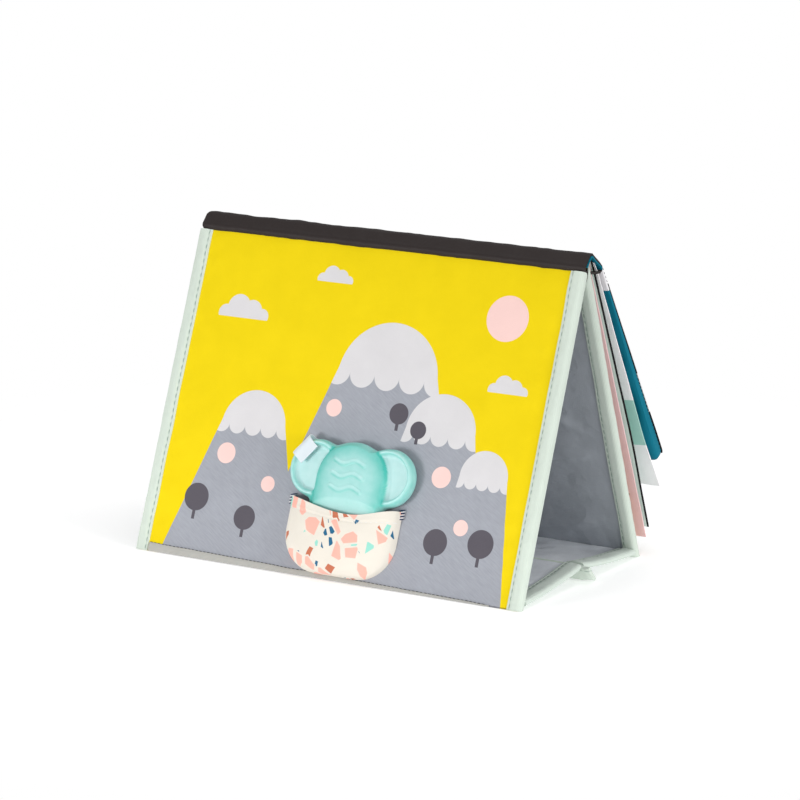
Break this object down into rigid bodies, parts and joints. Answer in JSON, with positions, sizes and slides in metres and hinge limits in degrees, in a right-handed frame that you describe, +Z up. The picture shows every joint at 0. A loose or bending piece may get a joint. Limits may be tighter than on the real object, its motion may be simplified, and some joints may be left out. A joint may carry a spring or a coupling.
{
  "type": "tummy time book",
  "caption": "Soft cloth book for a baby's tummy time. It stands as a tent, with a front pocket that holds a silicone teether, and cloth pages and a padded back cover behind.",
  "frame": {"origin": "on the ground, at the centre of the standing book's outline", "axes": "+X across the book to the right, +Y from the front cover to the pages, +Z up"},
  "size_m": [0.2514, 0.1838, 0.1856],
  "materials": {
    "spine_satin": "dark satin",
    "yellow_cloth": "printed woven polyester, slight sheen",
    "board": "plain board, hidden",
    "lining_cloth": "grey woven lining",
    "mint_tape": "soft binding tape, stitched",
    "page_cloth": "printed cloth in pale colours",
    "floor_cloth": "grey woven cloth, wrinkled",
    "hem_cloth": "grey cloth",
    "print_grey": "printed grey",
    "print_light": "printed light grey",
    "print_pink": "printed pink",
    "print_dark": "printed dark grey",
    "pocket_cloth": "cream velour",
    "chip_salmon": "printed salmon",
    "chip_rust": "printed rust",
    "chip_teal": "printed teal",
    "chip_mint": "printed mint",
    "silicone": "matte food-grade silicone",
    "white_satin": "white satin ribbon",
    "back_teal": "teal padded cloth",
    "back_black": "printed black",
    "back_white": "printed white"
  },
  "bodies": {
    "stand": {"spine_band": "spine_satin", "rear_panel_face": "yellow_cloth", "rear_panel_board": "board", "rear_panel_lining": "lining_cloth", "rear_binding_left": "mint_tape", "rear_binding_right": "mint_tape", "pages": "page_cloth", "floor_front": "floor_cloth", "floor_rear": "floor_cloth", "floor_front_binding_left": "mint_tape", "floor_front_binding_right": "mint_tape", "floor_rear_binding_left": "mint_tape", "floor_rear_binding_right": "mint_tape", "floor_seam_flange": "mint_tape"},
    "front_cover": {"front_cover_face": "yellow_cloth", "front_cover_board": "board", "front_cover_lining": "lining_cloth", "front_binding_left": "mint_tape", "front_binding_right": "mint_tape", "front_bottom_hem": "hem_cloth", "print_grey": "print_grey", "print_light": "print_light", "print_pink": "print_pink", "print_dark": "print_dark", "pocket": "pocket_cloth", "pocket_chips_salmon": "chip_salmon", "pocket_chips_rust": "chip_rust", "pocket_chips_teal": "chip_teal", "pocket_chips_mint": "chip_mint", "teether": "silicone", "teether_ribbon": "white_satin"},
    "back_cover": {"back_cover_pad": "back_teal", "back_cover_face": "back_black", "back_cover_print": "back_white"}
  },
  "joints": [
    {"name": "front_cover_fold", "type": "hinge", "parent": "stand", "child": "front_cover", "pos_m": [0, -0.01711, 0.1699], "axis": [1, 0, 0], "range_deg": [0, 37], "deforming": ["floor_front", "floor_rear", "floor_front_binding_left", "floor_front_binding_right", "floor_rear_binding_left", "floor_rear_binding_right", "floor_seam_flange"]},
    {"name": "back_cover_hinge", "type": "hinge", "parent": "stand", "child": "back_cover", "pos_m": [0, 0.00671, 0.17652], "axis": [1, 0, 0], "range_deg": [0, 180]}
  ]
}
